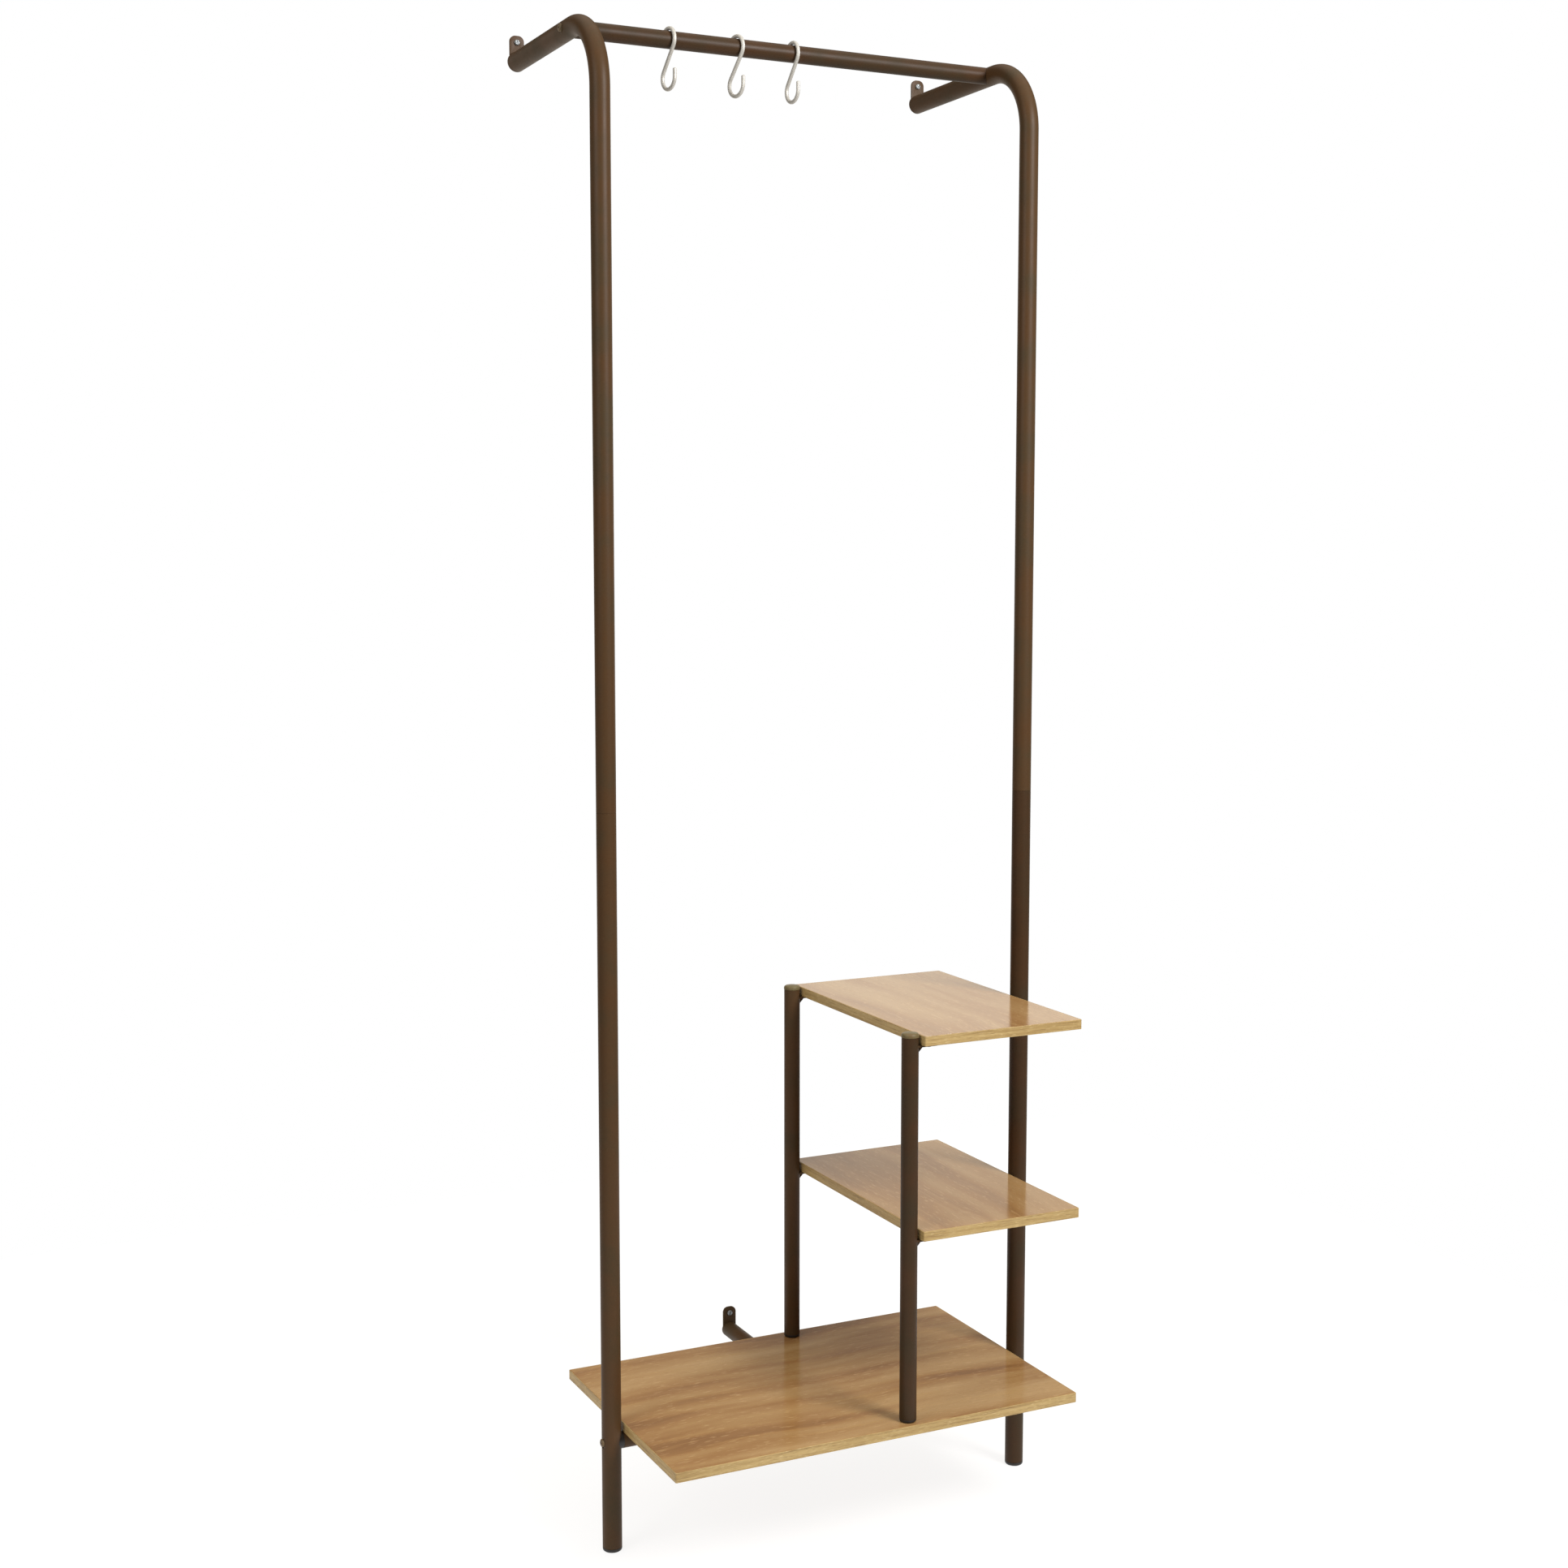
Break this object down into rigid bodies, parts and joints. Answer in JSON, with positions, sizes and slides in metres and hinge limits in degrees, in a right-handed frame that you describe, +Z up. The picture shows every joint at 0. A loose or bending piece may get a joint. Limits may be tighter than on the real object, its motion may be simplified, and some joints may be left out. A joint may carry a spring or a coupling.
{
  "type": "hall tree with hooks",
  "caption": "Open wall-fixed hall tree: bent tube uprights, a hanging rail with loose S-hooks, a low base board and small side shelves on short posts.",
  "frame": {"origin": "on the floor, at the centre of the whole object's footprint box, screw tips and bolt heads included", "axes": "+X to the right seen from the front, +Y towards the wall, +Z up; the side shelves stand at +X"},
  "size_m": [0.6408, 0.5, 1.971],
  "materials": {
    "bronze_powder_coat": "satin fine-texture bronze-brown powder coat",
    "oak_laminate_board": "satin-gloss light oak foil",
    "oak_edge_band": "satin oak edge band",
    "nickel_wire": "bright nickel-plated wire",
    "zinc_screw": "bright zinc plate",
    "black_nylon": "fine matt black",
    "plain_steel": "plain oiled steel",
    "bronze_bolt": "bronze-coloured plating",
    "bronze_cap": "olive-bronze satin moulding"
  },
  "bodies": {
    "rack": {"base_board": "oak_laminate_board", "base_board_edging": "oak_edge_band", "base_board_screws": "zinc_screw", "crossbar": "bronze_powder_coat", "front_post": "bronze_powder_coat", "front_post_bracket_middle": "bronze_powder_coat", "front_post_bracket_top": "bronze_powder_coat", "front_post_cap": "bronze_cap", "front_post_foot": "black_nylon", "left_arm_wall_plate": "bronze_powder_coat", "left_crossbar_bolt": "bronze_bolt", "left_crossbar_insert": "plain_steel", "left_crossbar_saddle": "black_nylon", "left_foot_plug": "black_nylon", "left_joint_sleeve": "plain_steel", "left_rail_bolt": "bronze_bolt", "left_rail_insert": "plain_steel", "left_upright_lower": "bronze_powder_coat", "left_upright_upper": "bronze_powder_coat", "left_wall_screw": "zinc_screw", "middle_shelf": "oak_laminate_board", "middle_shelf_edging": "oak_edge_band", "middle_shelf_screws": "zinc_screw", "post_screws": "bronze_bolt", "rail": "bronze_powder_coat", "rear_post": "bronze_powder_coat", "rear_post_bracket_middle": "bronze_powder_coat", "rear_post_bracket_top": "bronze_powder_coat", "rear_post_cap": "bronze_cap", "rear_post_foot": "black_nylon", "rear_strut": "bronze_powder_coat", "right_arm_wall_plate": "bronze_powder_coat", "right_crossbar_bolt": "bronze_bolt", "right_crossbar_insert": "plain_steel", "right_crossbar_saddle": "black_nylon", "right_foot_plug": "black_nylon", "right_joint_sleeve": "plain_steel", "right_rail_bolt": "bronze_bolt", "right_rail_insert": "plain_steel", "right_upright_lower": "bronze_powder_coat", "right_upright_upper": "bronze_powder_coat", "right_wall_screw": "zinc_screw", "strut_wall_plate": "bronze_powder_coat", "strut_wall_screw": "zinc_screw", "top_shelf": "oak_laminate_board", "top_shelf_edging": "oak_edge_band", "top_shelf_screws": "zinc_screw", "upright_bracket_middle": "bronze_powder_coat", "upright_bracket_top": "bronze_powder_coat"},
    "hook_left": {"s_hook_left": "nickel_wire"},
    "hook_middle": {"s_hook_middle": "nickel_wire"},
    "hook_right": {"s_hook_right": "nickel_wire"}
  },
  "joints": [
    {"name": "hook_left_swing", "type": "hinge", "parent": "rack", "child": "hook_left", "pos_m": [-0.172, 0.0295, 1.937], "axis": [1, 0, 0], "range_deg": [-60, 60]},
    {"name": "hook_middle_swing", "type": "hinge", "parent": "rack", "child": "hook_middle", "pos_m": [-0.077, 0.0295, 1.937], "axis": [1, 0, 0], "range_deg": [-60, 60]},
    {"name": "hook_right_swing", "type": "hinge", "parent": "rack", "child": "hook_right", "pos_m": [0.004, 0.0295, 1.937], "axis": [1, 0, 0], "range_deg": [-60, 60]}
  ]
}
